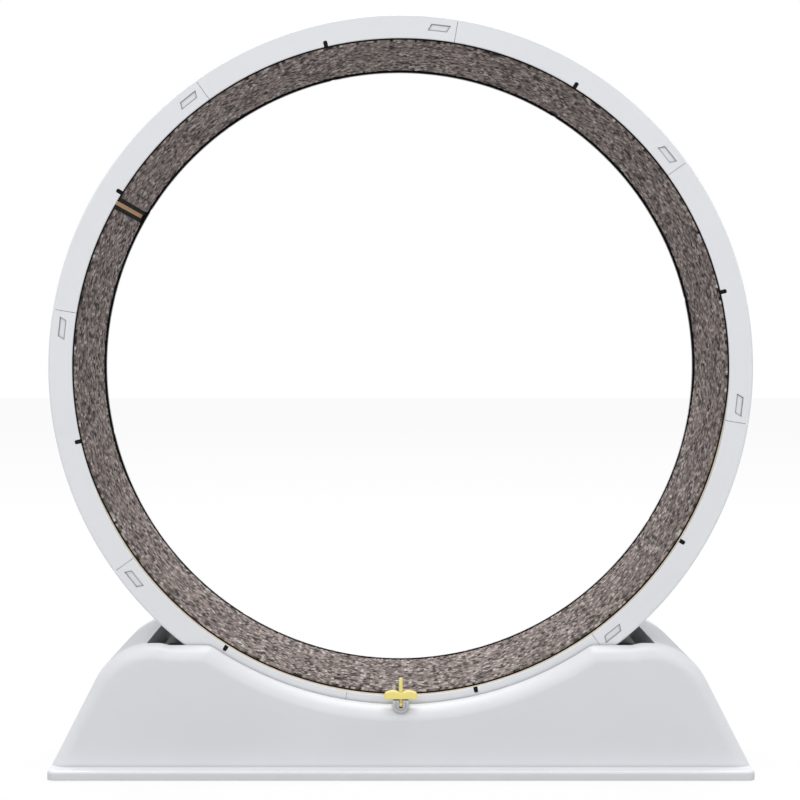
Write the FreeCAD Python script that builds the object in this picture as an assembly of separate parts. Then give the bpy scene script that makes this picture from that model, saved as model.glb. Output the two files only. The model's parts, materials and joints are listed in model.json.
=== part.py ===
import FreeCAD, Part

import math
import os

# An exercise wheel for a house pet: a hoop of eight snap-together plastic segments lined with
# carpet, cradled by two long rubber rollers in a moulded tub base.
# Millimetres. +Z is up, +X runs along the base, -Y is the side that the photograph shows.
# The origin is on the floor, under the middle of the base.
# Wheel angles are in degrees from straight down, growing towards +X.

V = FreeCAD.Vector

# ---- wheel --------------------------------------------------------------------------------
wheel_radius = 500.0            # outside of the hoop
wheel_width = 260.0
wheel_above_floor = 76.0        # lowest point of the hoop
segment_count = 8
first_joint_angle = 35.6        # one of the joints between segments
joint_gap = 0.7                 # parting line between two segments, along the rim
rim_wall = 3.0
front_face_height = 34.0        # radial height of the face on the photographed side
rear_face_height = 41.0         # the rear face stands higher and keeps the carpet in
deck_depth = 30.5               # from the outside of the hoop to the deck that carries the board
outer_edge_round = 3.0
lip_round = 1.2

# ---- segment joints -----------------------------------------------------------------------
spigot_length = 44.0
spigot_gap = 0.3                # clearance all round the spigot
bulkhead_thickness = 5.0
bulkhead_root = 1.0             # how far the bulkhead and the spigot root run into the walls
latch_from_joint = 24.5         # middle of the latch window, along the rim
window_length = 28.0
window_height = 10.0
window_slant = 4.5              # shift of the window's outer side towards the joint
latch_border = 1.5              # gap between the latch pad and its window
latch_recess = 2.2              # the pad stops this far below the face

# ---- lock notches -------------------------------------------------------------------------
notch_width = 6.0
notch_depth = 8.5
notch_reach = 9.0               # how far a notch runs in from the face
notch_round = 2.4

# ---- running surface ----------------------------------------------------------------------
board_thickness = 3.0
carpet_thickness = 3.0
seam_angle = 240.0              # where the ends of the board and the carpet meet
board_seam_gap = 0.5
carpet_seam_gap = 6.0           # board left bare between the two ends of the carpet
board_side_gap = 0.4            # between the board and the faces of the rim
edge_binding_width = 2.4
end_binding_width = 6.0
binding_height = 2.6            # from the board; the pile stands a little above it
rear_binding_height = 7.0       # at the back it stands up against the rear face of the rim

# ---- rollers ------------------------------------------------------------------------------
roller_radius = 30.0
roller_angle = 37.12            # where the rollers carry the hoop
rolling_gap = 0.3               # left between the hoop and a roller, so that they stay apart
sleeve_thickness = 5.0
core_thickness = 4.0
sleeve_setback = 1.5            # the rubber stops short of the end of the core
hub_length = 14.0
hub_bore_clearance = 1.5
shaft_radius = 4.0
shaft_hole_clearance = 0.05
bearing_radius = 11.0
bearing_width = 7.0
race_thickness = 1.45
race_bore_gap = 0.02            # between the inner race and the shaft
ball_gap = 0.065
ball_count = 7
spacer_thickness = 2.5
spacer_wall = 2.0

# ---- roller cradles -----------------------------------------------------------------------
cradle_thickness = 10.0
cradle_side_gap = 1.5           # between a cradle and the wall of the well
cradle_head_wall = 10.0         # plastic round the shaft hole
cradle_foot_half = 30.0
cradle_foot_height = 9.0
cradle_screw_offset = 23.0

# ---- base ---------------------------------------------------------------------------------
shell_thickness = 3.5
base_top_height = 185.0
saddle_cover = 22.6             # how far the side walls of the base hide the rim
well_floor_gap = 8.0            # under the hoop
well_side_gap = 3.5             # beside the hoop
side_wall_width = 21.5          # hollow side wall, from the well to the outside
pocket_gap_outer = 10.0         # round a roller, towards the end of the base
pocket_gap_inner = 4.0
pocket_gap_below = 8.0
top_step = 3.0                  # the side walls dip beside the well
step_run = 12.0
step_from_well_end = 21.0
end_block_top = 45.5            # from the end of the well to the corner above the end slope
end_slope_angle = 63.0
shoulder_radius = 91.0
saddle_corner_round = 21.5
body_edge_round = 20.0
flange_end_lip = 0.8
flange_side_lip = 25.0
flange_height = 15.0
flange_corner_round = 12.0
flange_edge_round = 4.0
ground_gap = 2.0                # the rubber feet lift the moulding this far off the floor

# ---- bottom plate, feet and fasteners -----------------------------------------------------
plate_thickness = 3.0
plate_fit = 0.4
plate_rib_height = 9.0
plate_rib_thickness = 3.0
plate_rib_offset = 60.0
plate_cross_rib_offset = 180.0
plate_rib_end_gap = 45.0
boss_radius = 6.0
boss_height = 40.0
boss_from_side = 9.0            # from the outside of the side wall to the middle of a boss
boss_pitch = 205.0
boss_count = 5
foot_radius = 17.0
foot_stem_radius = 5.0
foot_stem_height = 7.0
foot_hole_clearance = 0.2
foot_inset_end = 62.0
foot_inset_side = 62.0
screw_radius = 2.0
screw_head_radius = 4.0
screw_head_height = 2.4
screw_length = 16.0
screw_hole_clearance = 0.3
pilot_hole_gap = 0.05           # round the shank of a screw in its boss
screw_tip_room = 2.0            # blind hole left beyond the tip of a screw
screw_slot_width = 1.0
screw_slot_depth = 1.0
screw_head_sink = 0.9           # how far a base screw's head is let into the plate
cradle_boss_radius = 5.5
cradle_boss_height = 9.0

# ---- guide buttons ------------------------------------------------------------------------
guide_angle = 18.0
guide_radius = 9.0
guide_gap = 1.0                 # between a button and the face of the hoop
guide_stem_radius = 3.0
guide_stem_length = 7.0
guide_from_rim = 12.0           # in from the outside of the hoop

# ---- wheel lock ---------------------------------------------------------------------------
lock_width = 21.6
lock_above_saddle = 10.2        # bracket, from the lowest point of the saddle
lock_below_saddle = 7.4
lock_proud = 3.5                # in front of the side wall
lock_back_gap = 1.1             # from the bracket to the edge of the well
lock_back_plate = 2.4
lock_recess_depth = 2.0
lock_recess_border = 3.0
lock_seat_gap = 0.12
lock_corner_round = 1.0
pivot_below_top = 7.0           # also the rounding of the cheeks about the pin
pivot_pin_radius = 1.25
pivot_clearance = 0.06
pivot_pin_end = 3.0             # plastic left outside the end of the pin
lever_hub_radius = 4.0
lever_stem_width = 4.0
lever_slot_gap = 0.4
finger_length = 17.6            # above the wings
finger_width = 5.2
wing_span = 46.0
wing_height = 12.7
wing_clearance = 0.7            # above the round cheeks of the bracket
wing_dip = 3.5
wing_thickness = 9.0
wing_edge_round = 1.6
wing_corner_round = 2.0
wing_shoulder_round = 5.0
wing_crown_round = 14.0
peg_radius = 2.2
peg_offset = 7.0
peg_behind_pivot = 6.5
peg_length = 13.0
peg_clearance = 0.1

# ---- worked out ---------------------------------------------------------------------------
axis_height = wheel_radius + wheel_above_floor
half_width = wheel_width / 2
segment_angle = 360.0 / segment_count
front_lip_radius = wheel_radius - front_face_height
rear_lip_radius = wheel_radius - rear_face_height
deck_radius = wheel_radius - deck_depth
board_radius = deck_radius - board_thickness
carpet_radius = board_radius - carpet_thickness
roller_orbit = wheel_radius + roller_radius + rolling_gap
roller_x = roller_orbit * math.sin(math.radians(roller_angle))
roller_z = axis_height - roller_orbit * math.cos(math.radians(roller_angle))
well_half = half_width + well_side_gap
body_half = well_half + side_wall_width
base_half_depth = body_half + flange_side_lip
well_radius = wheel_radius + well_floor_gap
pocket_end = roller_x + roller_radius + pocket_gap_outer
pocket_start = roller_x - roller_radius - pocket_gap_inner
pocket_floor = roller_z - roller_radius - pocket_gap_below
slope_run = 1.0 / math.tan(math.radians(end_slope_angle))
slope_top_x = pocket_end + end_block_top
slope_foot_x = slope_top_x + (base_top_height - flange_height) * slope_run
base_half_length = slope_foot_x + flange_end_lip
saddle_radius = wheel_radius - saddle_cover
cradle_outer = well_half - cradle_side_gap
cradle_inner = cradle_outer - cradle_thickness
roller_end = cradle_inner - spacer_thickness
core_radius = roller_radius - sleeve_thickness
hub_radius = core_radius - core_thickness
race_inner_radius = shaft_radius + race_thickness
race_outer_radius = bearing_radius - race_thickness
ball_orbit = (race_inner_radius + race_outer_radius) / 2
ball_radius = (race_outer_radius - race_inner_radius) / 2 - ball_gap
plate_top = ground_gap + plate_thickness
boss_y = body_half - boss_from_side
saddle_low = axis_height - saddle_radius
lock_front = -body_half - lock_proud
pivot_y = lock_front + pivot_below_top
lock_back = -well_half - lock_back_gap
lock_top = saddle_low + lock_above_saddle
lock_bottom = saddle_low - lock_below_saddle
pivot_height = lock_top - pivot_below_top
wing_low = lock_top + wing_clearance
wing_high = wing_low + wing_height
lever_top = wing_high + finger_length
screw_seat = ground_gap + screw_head_sink
pilot_radius = screw_radius + pilot_hole_gap
margin = 20.0                   # how far a cutting tool runs past what it cuts
past = 1.0                      # the same, for a drilled hole

os.makedirs("parts", exist_ok=True)


# ---- drawing aids -------------------------------------------------------------------------
def rounded_wire(corners, place):
    """Closed wire through corners (u, v, rounding); place turns (u, v) into a point in space."""
    points = [FreeCAD.Vector(u, v, 0) for u, v, _ in corners]
    edges = []
    ends = []
    for i, (_, _, rounding) in enumerate(corners):
        here = points[i]
        back = (points[i - 1] - here).normalize()
        ahead = (points[(i + 1) % len(points)] - here).normalize()
        if rounding <= 0:
            ends.append((here, here, here))
            continue
        half = math.acos(max(-1.0, min(1.0, back.dot(ahead)))) / 2
        run = rounding / math.tan(half)
        centre = here + (back + ahead).normalize() * (rounding / math.sin(half))
        middle = centre + (here - centre).normalize() * rounding
        ends.append((here + back * run, middle, here + ahead * run))
    for i, (start, middle, end) in enumerate(ends):
        if start != end:
            arc = Part.Arc(place(start.x, start.y), place(middle.x, middle.y), place(end.x, end.y))
            edges.append(arc.toShape())
        following = ends[(i + 1) % len(ends)][0]
        if end.distanceToPoint(following) > 1e-6:
            edges.append(Part.makeLine(place(end.x, end.y), place(following.x, following.y)))
    return Part.Wire(edges)


def upright_prism(corners, y_start, y_end):
    """Prism along Y from an outline in X and Z."""
    wire = rounded_wire(corners, lambda x, z: V(x, y_start, z))
    return Part.Face(wire).extrude(V(0, y_end - y_start, 0))


def flat_prism(corners, z_start, z_end):
    """Prism along Z from an outline in X and Y."""
    wire = rounded_wire(corners, lambda x, y: V(x, y, z_start))
    return Part.Face(wire).extrude(V(0, 0, z_end - z_start))


def box(x0, x1, y0, y1, z0, z1):
    return Part.makeBox(x1 - x0, y1 - y0, z1 - z0, V(x0, y0, z0))


def rod_y(radius, x, z, y0, y1):
    return Part.makeCylinder(radius, y1 - y0, V(x, y0, z), V(0, 1, 0))


def rod_z(radius, x, y, z0, z1):
    return Part.makeCylinder(radius, z1 - z0, V(x, y, z0), V(0, 0, 1))


def rod_x(radius, y, z, x0, x1):
    return Part.makeCylinder(radius, x1 - x0, V(x0, y, z), V(1, 0, 0))


def tube_y(outer, inner, x, z, y0, y1):
    return rod_y(outer, x, z, y0, y1).cut(rod_y(inner, x, z, y0, y1))


def fuse_all(shapes):
    return shapes[0].fuse(shapes[1:]) if len(shapes) > 1 else shapes[0]


def rectangle(u0, u1, v0, v1, rounding=0.0):
    return [(u0, v0, rounding), (u1, v0, rounding), (u1, v1, rounding), (u0, v1, rounding)]


def turned_about_wheel(shape, angle):
    """Copy of a shape, turned about the wheel's axis from straight down towards +X."""
    turned = shape.copy()
    turned.rotate(V(0, 0, axis_height), V(0, -1, 0), angle)
    return turned


def swept_section(corners, start, end, hole=None):
    """Ring sector from a section in radius and Y, between two wheel angles."""
    def place(radius, y):
        return V(0, y, axis_height - radius)

    face = Part.Face(rounded_wire(corners, place))
    if hole:
        face = face.cut(Part.Face(rounded_wire(hole, place)))
    face = turned_about_wheel(face, start)
    return face.revolve(V(0, 0, axis_height), V(0, -1, 0), end - start)


def degrees_along(length, radius):
    return math.degrees(length / radius)


def export(name, shapes):
    shape = shapes[0] if len(shapes) == 1 else Part.makeCompound(shapes)
    solids = shape.Solids
    shape = solids[0] if len(solids) == 1 else Part.makeCompound(solids)
    shape.exportStep(f"parts/{name}.step")
    print(f"{name}: {len(solids)} solid(s), {shape.Volume / 1000:.1f} cm3, valid {shape.isValid()}")


# ---- wheel --------------------------------------------------------------------------------
def latch_outline(border):
    """Slanted window outline, with its length along X, in the middle of the front face."""
    middle = axis_height - wheel_radius + front_face_height / 2
    low = middle - window_height / 2 + border
    high = middle + window_height / 2 - border
    half = window_length / 2 - border
    lean = window_slant / 2
    return [(-half - lean, low, 0), (half - lean, low, 0), (half + lean, high, 0), (-half + lean, high, 0)]


def latch_block(border, y_start, y_end, angle):
    return turned_about_wheel(upright_prism(latch_outline(border), y_start, y_end), angle)


def notch_cutter(lip_radius, y_start, y_end, angle):
    half = notch_width / 2
    low = axis_height - lip_radius - notch_depth
    high = axis_height - lip_radius + margin
    outline = [(-half, low, notch_round), (half, low, notch_round), (half, high, 0), (-half, high, 0)]
    return turned_about_wheel(upright_prism(outline, y_start, y_end), angle)


def rim_segment(start):
    """Hollow segment, open at its start, with a spigot at its end that plugs into the next one."""
    end = start + segment_angle
    gap = degrees_along(joint_gap, wheel_radius) / 2
    face = half_width
    inside = half_width - rim_wall
    section = [
        (front_lip_radius, -face, lip_round), (wheel_radius, -face, outer_edge_round),
        (wheel_radius, face, outer_edge_round), (rear_lip_radius, face, lip_round),
        (rear_lip_radius, inside, lip_round), (deck_radius, inside, 0),
        (deck_radius, -inside, 0), (front_lip_radius, -inside, lip_round),
    ]
    hollow = rectangle(deck_radius + rim_wall, wheel_radius - rim_wall, -inside, inside)
    tube = swept_section(section, start + gap, end - gap, hollow)

    low = deck_radius + rim_wall + spigot_gap
    high = wheel_radius - rim_wall - spigot_gap
    side = inside - spigot_gap
    bore = rectangle(low + rim_wall, high - rim_wall, -side + rim_wall, side - rim_wall)
    root = rectangle(low - spigot_gap - bulkhead_root, high + spigot_gap + bulkhead_root,
                     -inside - bulkhead_root, inside + bulkhead_root)
    root_start = end - gap - degrees_along(bulkhead_thickness, wheel_radius)
    bulkhead = swept_section(root, root_start, end - gap, bore)
    spigot_end = end + degrees_along(spigot_length, wheel_radius)
    spigot = swept_section(rectangle(low, high, -side, side), root_start, spigot_end, bore)

    own_latch = start + degrees_along(latch_from_joint, wheel_radius - front_face_height / 2)
    next_latch = own_latch + segment_angle
    pad_face = half_width - latch_recess
    pads = [latch_block(latch_border, -pad_face, -side + rim_wall / 2, next_latch),
            latch_block(latch_border, side - rim_wall / 2, pad_face, next_latch)]
    body = fuse_all([tube, bulkhead, spigot] + pads)

    windows = [latch_block(0, -face - margin, -inside + spigot_gap / 2, own_latch),
               latch_block(0, inside - spigot_gap / 2, face + margin, own_latch)]
    middle = start + segment_angle / 2
    notches = [notch_cutter(front_lip_radius, -face - margin, -face + notch_reach, middle),
               notch_cutter(rear_lip_radius, face - notch_reach, face + margin, middle)]
    for cutter in windows + notches:
        body = body.cut(cutter)
    return body


def ring_strip(inner, outer, y_start, y_end, seam_gap):
    """Strip round the whole hoop, with a gap at the seam."""
    half = degrees_along(seam_gap, inner) / 2
    return swept_section(rectangle(inner, outer, y_start, y_end),
                         seam_angle + half, seam_angle + 360 - half)


def running_surface():
    side = half_width - rim_wall - board_side_gap
    carpet_side = side - edge_binding_width
    bound = board_radius - binding_height
    carpet_cut = carpet_seam_gap + 2 * end_binding_width
    board = ring_strip(board_radius, deck_radius, -side, side, board_seam_gap)
    for number in range(segment_count):
        middle = first_joint_angle + (number + 0.5) * segment_angle
        outside = half_width + margin
        inside = half_width - notch_reach
        board = board.cut(notch_cutter(front_lip_radius, -outside, -inside, middle))
        board = board.cut(notch_cutter(rear_lip_radius, inside, outside, middle))
    export("running_board", [board])
    export("carpet_runner", [ring_strip(carpet_radius, board_radius, -carpet_side, carpet_side, carpet_cut)])
    export("edge_binding_front", [ring_strip(bound, board_radius, -side, -carpet_side, carpet_seam_gap)])
    rear_bound = board_radius - rear_binding_height
    export("edge_binding_rear", [ring_strip(rear_bound, board_radius, carpet_side, side, carpet_seam_gap)])
    near = degrees_along(carpet_seam_gap, board_radius) / 2
    far = degrees_along(carpet_cut, board_radius) / 2
    strip = rectangle(bound, board_radius, -carpet_side, carpet_side)
    export("end_bindings", [swept_section(strip, seam_angle + near, seam_angle + far),
                            swept_section(strip, seam_angle - far, seam_angle - near)])


# ---- base ---------------------------------------------------------------------------------
def body_outline(inset):
    """Half of the long outline, from the middle of the top to the end slope's foot."""
    top = base_top_height - inset
    slope_shift = inset / math.sin(math.radians(end_slope_angle))
    well_end = pocket_end
    step_end = well_end - step_from_well_end
    foot = -margin
    corner_x = slope_top_x - slope_shift + inset * slope_run
    foot_x = corner_x + (top - foot) * slope_run
    soft = saddle_corner_round - inset
    soft_run = soft * math.tan(math.atan(top_step / step_run) / 2)
    shoulder_room = corner_x - step_end - soft_run
    shoulder = shoulder_room / math.tan(math.radians(end_slope_angle) / 2)
    right = [(foot_x, foot, 0), (corner_x, top, min(shoulder_radius - inset, shoulder * 0.98)),
             (step_end, top, soft), (step_end - step_run, top - top_step, soft)]
    left = [(-x, z, rounding) for x, z, rounding in reversed(right)]
    return right + left


def body_solid(inset):
    """The moulded loaf of the base without its well, drawn in from the outside by inset."""
    depth = body_half - inset
    loaf = upright_prism(body_outline(inset), -depth, depth)
    saddle = rod_y(saddle_radius + inset, 0, axis_height, -depth - margin, depth + margin)
    loaf = loaf.cut(saddle)
    corners = []
    for edge in loaf.Edges:
        start, end = edge.Vertexes[0].Point, edge.Vertexes[-1].Point
        reach = V(start.x, 0, start.z).distanceToPoint(V(0, 0, axis_height))
        across = abs(start.y - end.y) > depth
        if across and abs(reach - saddle_radius - inset) < 0.01:
            corners.append(edge)
    loaf = loaf.makeFillet(saddle_corner_round - inset, corners)
    rims = []
    for edge in loaf.Edges:
        flat = abs(abs(edge.BoundBox.YMin) - depth) < 0.01 and edge.BoundBox.YLength < 0.01
        if flat and edge.BoundBox.ZMax > 0:
            rims.append(edge)
    loaf = loaf.makeFillet(body_edge_round - inset, rims)
    bottom = ground_gap if inset <= 0 else -past
    reach = base_half_length + margin
    deep = body_half + margin
    return loaf.cut(box(-reach, reach, -deep, deep, -2 * margin, bottom))


def flange_solid(inset):
    x = base_half_length - inset
    y = base_half_depth - inset
    bottom = -past if inset else ground_gap
    corner = flange_corner_round - inset
    plate = flat_prism(rectangle(-x, x, -y, y, corner), bottom, flange_height - inset)
    if inset:
        return plate
    edges = [edge for edge in plate.Edges if edge.BoundBox.ZMin > flange_height - 0.01]
    return plate.makeFillet(flange_edge_round, edges)


def well_solid(outset):
    """Room for the hoop and the two rollers, grown by outset on every side."""
    side = well_half + outset
    hoop = rod_y(well_radius + outset, 0, axis_height, -side, side)
    shapes = [hoop]
    top = axis_height
    for sign in (-1, 1):
        near = sign * (pocket_start - outset)
        far = sign * (pocket_end + outset)
        shapes.append(box(min(near, far), max(near, far), -side, side, pocket_floor - outset, top))
    return fuse_all(shapes)


def boss_places():
    half = (boss_count - 1) / 2
    xs = [(i - half) * boss_pitch for i in range(boss_count)]
    return [(x, y) for x in xs for y in (-boss_y, boss_y)]


def cradle_screw_places():
    places = []
    for x in (-roller_x, roller_x):
        for y in (-cradle_outer + cradle_thickness / 2, cradle_outer - cradle_thickness / 2):
            for dx in (-cradle_screw_offset, cradle_screw_offset):
                places.append((x + dx, y))
    return places


def guide_places():
    """Middle of each guide button, as its side of the wheel, X and Z."""
    radius = wheel_radius - guide_from_rim
    x = radius * math.sin(math.radians(guide_angle))
    z = axis_height - radius * math.cos(math.radians(guide_angle))
    return [(side, sign * x, z) for side in (-1, 1) for sign in (-1, 1)]


def peg_places():
    return [(x, pivot_y + peg_behind_pivot) for x in (-peg_offset, peg_offset)]


def base_shell():
    outer = body_solid(0).fuse(flange_solid(0))
    inner = body_solid(shell_thickness).fuse(flange_solid(shell_thickness))
    hollow = inner.cut(well_solid(shell_thickness))
    shell = outer.cut(well_solid(0)).cut(hollow)

    bosses = [rod_z(boss_radius, x, y, plate_top, boss_height) for x, y in boss_places()]
    under = pocket_floor - shell_thickness / 2
    for x, y in cradle_screw_places():
        bosses.append(rod_z(cradle_boss_radius, x, y, pocket_floor - cradle_boss_height, under))
    shell = shell.fuse([boss.common(outer) for boss in bosses])

    for x, y in boss_places():
        tip = screw_seat + screw_length + screw_tip_room
        shell = shell.cut(rod_z(pilot_radius, x, y, ground_gap - past, tip))
    for x, y in cradle_screw_places():
        bottom = pocket_floor - cradle_boss_height - past
        shell = shell.cut(rod_z(pilot_radius, x, y, bottom, pocket_floor + past))
    stem = guide_stem_radius + foot_hole_clearance
    for side, x, z in guide_places():
        y = side * well_half
        reach = shell_thickness + past
        shell = shell.cut(rod_y(stem, x, z, y - reach, y + reach))
    for x, y in peg_places():
        bottom = pivot_height - peg_length - past
        shell = shell.cut(rod_z(peg_radius + peg_clearance, x, y, bottom, pivot_height))
    return shell.removeSplitter()


def foot_places():
    x = base_half_length - foot_inset_end
    y = base_half_depth - foot_inset_side
    return [(sign * place, side * y) for place in (x, 0) for sign in ((-1, 1) if place else (1,))
            for side in (-1, 1)]


def base_plate():
    x = base_half_length - shell_thickness - plate_fit
    y = base_half_depth - shell_thickness - plate_fit
    corner = flange_corner_round - shell_thickness - plate_fit
    plate = flat_prism(rectangle(-x, x, -y, y, corner), ground_gap, plate_top)
    ribs = []
    rib_top = plate_top + plate_rib_height
    reach = x - plate_rib_end_gap
    across = y - plate_rib_end_gap
    half = plate_rib_thickness / 2
    for sign in (-1, 1):
        rib_y = sign * plate_rib_offset
        rib_x = sign * plate_cross_rib_offset
        ribs.append(box(-reach, reach, rib_y - half, rib_y + half, ground_gap, rib_top))
        ribs.append(box(rib_x - half, rib_x + half, -across, across, ground_gap, rib_top))
    plate = plate.fuse(ribs)
    for foot_x, foot_y in foot_places():
        hole = foot_stem_radius + foot_hole_clearance
        plate = plate.cut(rod_z(hole, foot_x, foot_y, 0, rib_top + past))
    for boss_x, boss_side in boss_places():
        hole = screw_radius + screw_hole_clearance
        recess = screw_head_radius + screw_hole_clearance
        plate = plate.cut(rod_z(hole, boss_x, boss_side, 0, plate_top + past))
        plate = plate.cut(rod_z(recess, boss_x, boss_side, 0, screw_seat))
    return plate.removeSplitter()


def foot(x, y):
    pad = rod_z(foot_radius, x, y, 0, ground_gap)
    stem = rod_z(foot_stem_radius, x, y, ground_gap, ground_gap + foot_stem_height)
    return pad.fuse(stem).removeSplitter()


def screw(x, y, seat, direction):
    """Round-headed screw whose head sits on a seat height and whose shank runs along direction."""
    head = Part.makeCylinder(screw_head_radius, screw_head_height, V(x, y, seat), V(0, 0, -direction))
    shank = Part.makeCylinder(screw_radius, screw_length, V(x, y, seat), V(0, 0, direction))
    reach = screw_head_radius / 2
    half = screw_slot_width / 2
    deep = screw_slot_depth
    cross = box(x - reach, x + reach, y - half, y + half, -deep, deep)
    cross = cross.fuse(box(x - half, x + half, y - reach, y + reach, -deep, deep))
    cross.translate(V(0, 0, seat - direction * screw_head_height))
    return head.fuse(shank).cut(cross)


# ---- rollers ------------------------------------------------------------------------------
def cradle(x, side):
    """Bearing block: a foot on the floor of the pocket and a head round the shaft."""
    y_near, y_far = sorted((side * cradle_inner, side * cradle_outer))
    foot_block = box(x - cradle_foot_half, x + cradle_foot_half, y_near, y_far,
                     pocket_floor, pocket_floor + cradle_foot_height)
    head_radius = shaft_radius + cradle_head_wall
    web = box(x - head_radius, x + head_radius, y_near, y_far, pocket_floor, roller_z)
    body = fuse_all([foot_block, web, rod_y(head_radius, x, roller_z, y_near, y_far)])
    body = body.cut(rod_y(shaft_radius + shaft_hole_clearance, x, roller_z, y_near - past, y_far + past))
    middle = (y_near + y_far) / 2
    hole = screw_radius + screw_hole_clearance
    for dx in (-cradle_screw_offset, cradle_screw_offset):
        body = body.cut(rod_z(hole, x + dx, middle, pocket_floor - past,
                              pocket_floor + cradle_foot_height + past))
    return body.removeSplitter()


def hub(x, side):
    """Plug in the end of the core that holds a ball bearing."""
    outside = side * roller_end
    inside = side * (roller_end - hub_length)
    seat = side * (roller_end - bearing_width)
    body = rod_y(hub_radius, x, roller_z, min(inside, outside), max(inside, outside))
    body = body.cut(rod_y(bearing_radius, x, roller_z, min(seat, outside), max(seat, outside)))
    bore = race_inner_radius + hub_bore_clearance
    return body.cut(rod_y(bore, x, roller_z, min(inside, seat), max(inside, seat)))


def balls(x, side):
    y = side * (roller_end - bearing_width / 2)
    made = []
    for i in range(ball_count):
        turn = math.radians(360.0 * i / ball_count)
        centre = V(x + ball_orbit * math.sin(turn), y, roller_z + ball_orbit * math.cos(turn))
        made.append(Part.makeSphere(ball_radius, centre))
    return made


def bearing_span(side):
    return sorted((side * (roller_end - bearing_width), side * roller_end))


def roller(name, x):
    sides = ((-1, "front"), (1, "rear"))
    sleeve_end = roller_end - sleeve_setback
    sleeve = tube_y(roller_radius, core_radius, x, roller_z, -sleeve_end, sleeve_end)
    core = tube_y(core_radius, hub_radius, x, roller_z, -roller_end, roller_end)
    export(f"roller_sleeve_{name}", [sleeve])
    export(f"roller_core_{name}", [core])
    export(f"roller_shaft_{name}", [rod_y(shaft_radius, x, roller_z, -cradle_outer, cradle_outer)])
    for side, end in sides:
        export(f"roller_hub_{name}_{end}", [hub(x, side)])
        export(f"roller_cradle_{name}_{end}", [cradle(x, side)])
    spans = [bearing_span(side) for side, _ in sides]
    outer = [tube_y(bearing_radius, race_outer_radius, x, roller_z, y0, y1) for y0, y1 in spans]
    bore = shaft_radius + race_bore_gap
    inner = [tube_y(race_inner_radius, bore, x, roller_z, y0, y1) for y0, y1 in spans]
    export(f"bearing_outer_races_{name}", outer)
    export(f"bearing_inner_races_{name}", inner)
    export(f"bearing_balls_{name}", balls(x, -1) + balls(x, 1))
    gaps = [sorted((side * roller_end, side * cradle_inner)) for side, _ in sides]
    spacer_radius = shaft_radius + spacer_wall
    spacers = [tube_y(spacer_radius, bore, x, roller_z, y0, y1) for y0, y1 in gaps]
    export(f"shaft_spacers_{name}", spacers)


# ---- guide buttons and wheel lock ---------------------------------------------------------
def guide_button(side, x, z):
    face = side * (half_width + guide_gap)
    wall = side * well_half
    tip = side * (well_half + guide_stem_length)
    head = rod_y(guide_radius, x, z, min(face, wall), max(face, wall))
    return head.fuse(rod_y(guide_stem_radius, x, z, min(wall, tip), max(wall, tip))).removeSplitter()


def round_bottomed(half, bottom, top, y0, y1):
    """Prism along Y with upright sides and a round bottom."""
    corners = [(-half, bottom, half), (half, bottom, half),
               (half, top, lock_corner_round), (-half, top, lock_corner_round)]
    return upright_prism(corners, y0, y1)


def lock_bracket():
    half = lock_width / 2
    block = round_bottomed(half, lock_bottom, lock_top, lock_front, lock_back)
    recess_half = half - lock_recess_border
    recess = round_bottomed(recess_half, lock_bottom + lock_recess_border,
                            lock_top + margin, lock_front - past, lock_front + lock_recess_depth)
    slot_half = lever_stem_width / 2 + lever_slot_gap
    slot_floor = pivot_height - lever_hub_radius - lever_slot_gap
    slot = box(-slot_half, slot_half, lock_front - past, lock_back - lock_back_plate,
               slot_floor, lock_top + past)
    cheeks = [(lock_front, lock_bottom - past, 0), (lock_front, lock_top, pivot_below_top),
              (lock_back, lock_top, 0), (lock_back, lock_bottom - past, 0)]
    profile = Part.Face(rounded_wire(cheeks, lambda y, z: V(-half - past, y, z)))
    block = block.common(profile.extrude(V(lock_width + 2 * past, 0, 0)))
    block = block.cut(recess).cut(slot).cut(body_solid(-lock_seat_gap))
    pegs = [rod_z(peg_radius, x, y, pivot_height - peg_length, pivot_height) for x, y in peg_places()]
    block = max(block.Solids, key=lambda solid: solid.Volume).fuse(pegs)
    reach = half - pivot_pin_end
    block = block.cut(rod_x(pivot_pin_radius, pivot_y, pivot_height, -reach, reach))
    return block.removeSplitter()


def wing_outline():
    """Two rounded humps beside the stem, over a flat underside."""
    half = wing_span / 2
    hump = half / 2
    low = wing_high - wing_dip
    right = [(half, wing_low, wing_corner_round), (half, low, wing_shoulder_round),
             (hump, wing_high, wing_crown_round)]
    left = [(-x, z, rounding) for x, z, rounding in reversed(right)]
    return right + [(0, low, wing_shoulder_round)] + left


def lock_lever():
    half = lever_stem_width / 2
    hub_part = rod_x(lever_hub_radius, pivot_y, pivot_height, -half, half)
    stem = box(-half, half, pivot_y - half, pivot_y + half, pivot_height, wing_high - wing_dip)
    wings = upright_prism(wing_outline(), pivot_y - wing_thickness / 2, pivot_y + wing_thickness / 2)
    wings = wings.makeFillet(wing_edge_round, [edge for edge in wings.Edges
                                               if edge.BoundBox.YLength < 0.01])
    finger_radius = finger_width / 2
    finger = rod_z(finger_radius, 0, pivot_y, wing_low + wing_dip, lever_top - finger_radius)
    tip = Part.makeSphere(finger_radius, V(0, pivot_y, lever_top - finger_radius))
    lever = fuse_all([hub_part, stem, wings, finger, tip])
    hole = pivot_pin_radius + pivot_clearance
    return lever.cut(rod_x(hole, pivot_y, pivot_height, -half - past, half + past)).removeSplitter()


# ---- all pieces ---------------------------------------------------------------------------
for number in range(segment_count):
    export(f"rim_segment_{number + 1}", [rim_segment(first_joint_angle + number * segment_angle)])
running_surface()

export("base_shell", [base_shell()])
export("base_plate", [base_plate()])
for number, (foot_x, foot_y) in enumerate(foot_places()):
    export(f"rubber_foot_{number + 1}", [foot(foot_x, foot_y)])
export("base_screws", [screw(x, y, screw_seat, 1) for x, y in boss_places()])

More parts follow.
